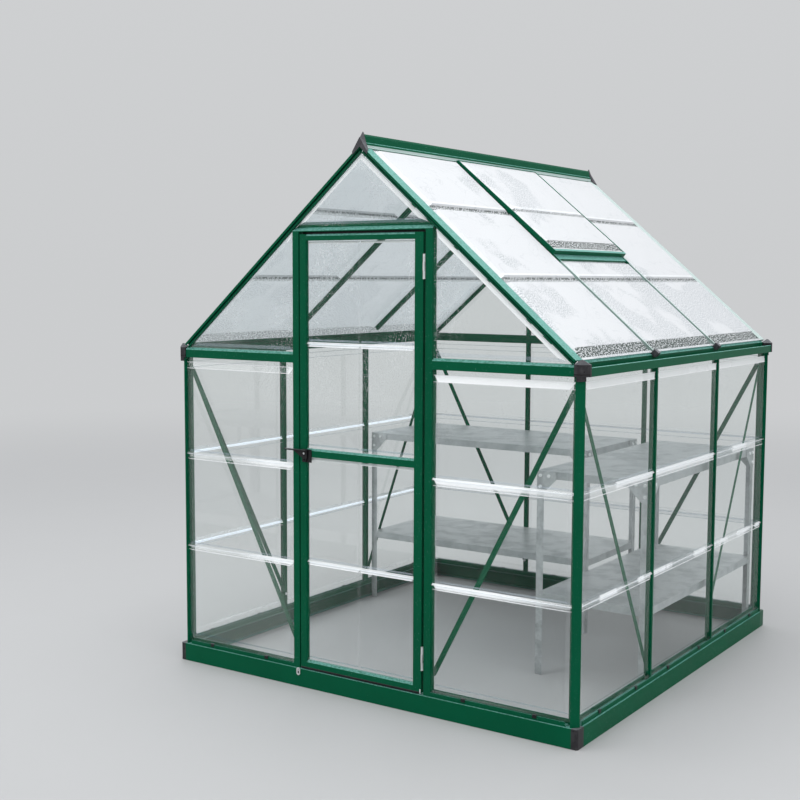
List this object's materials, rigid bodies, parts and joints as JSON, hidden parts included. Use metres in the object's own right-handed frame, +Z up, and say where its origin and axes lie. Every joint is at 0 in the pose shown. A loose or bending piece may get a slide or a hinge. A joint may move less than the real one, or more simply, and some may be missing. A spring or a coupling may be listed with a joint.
{
  "type": "polycarbonate greenhouse",
  "caption": "Clear-panelled garden greenhouse: green aluminium frame on a steel skirt, gable roof with a raised vent, hinged gable door with a turning latch, two-tier staging inside.",
  "frame": {"origin": "on the ground under the middle of the skirt", "axes": "+X to the right along the door gable seen from outside, +Y from the door gable towards the rear, +Z up"},
  "size_m": [1.83, 1.914, 2.0951],
  "materials": {
    "green_aluminium": "gloss",
    "green_steel": "gloss",
    "grey_plastic": "matte",
    "black_plastic": "matte",
    "clear_sheet": "clear",
    "roof_sheet": "wet",
    "bright_metal": "satin",
    "galvanised_steel": "satin"
  },
  "bodies": {
    "house": {"base_front": "green_steel", "base_rear": "green_steel", "base_left": "green_steel", "base_right": "green_steel", "sill_tracks": "green_aluminium", "corner_posts": "green_aluminium", "door_posts": "green_aluminium", "side_studs": "green_aluminium", "rear_studs": "green_aluminium", "eave_beams": "green_aluminium", "gable_braces": "green_aluminium", "side_braces": "green_aluminium", "gutter_left": "green_aluminium", "gutter_right": "green_aluminium", "gable_rafters": "green_aluminium", "mid_rafters": "green_aluminium", "ridge_beam": "green_aluminium", "door_header": "green_aluminium", "vent_frame": "green_aluminium", "base_corner_covers": "grey_plastic", "eave_brackets": "grey_plastic", "rafter_feet": "grey_plastic", "ridge_caps": "grey_plastic", "sheet_clips": "black_plastic", "wall_sheets_front": "clear_sheet", "wall_sheets_rear": "clear_sheet", "wall_sheets_left": "clear_sheet", "wall_sheets_right": "clear_sheet", "gable_sheets_front": "clear_sheet", "gable_sheets_rear": "clear_sheet", "roof_sheets_left": "roof_sheet", "roof_sheets_right": "roof_sheet", "vent_sheet": "roof_sheet", "hinge_plates": "bright_metal", "door_catch": "bright_metal", "staging_legs": "galvanised_steel", "staging_shelves": "galvanised_steel"},
    "door": {"door_stiles": "green_aluminium", "door_top_rail": "green_aluminium", "door_mid_rail": "green_aluminium", "door_bottom_rail": "green_aluminium", "door_sheets": "clear_sheet", "hinge_knuckles": "bright_metal", "latch_plate": "black_plastic"},
    "latch": {"latch_lever": "black_plastic"}
  },
  "joints": [
    {"name": "door_swing", "type": "hinge", "parent": "house", "child": "door", "pos_m": [0.2795, -0.9455, 0], "axis": [0, 0, 1], "range_deg": [0, 120]},
    {"name": "latch_turn", "type": "hinge", "parent": "door", "child": "latch", "pos_m": [-0.2535, -0.9495, 0.909], "axis": [0, 1, 0], "range_deg": [0, 90]}
  ]
}
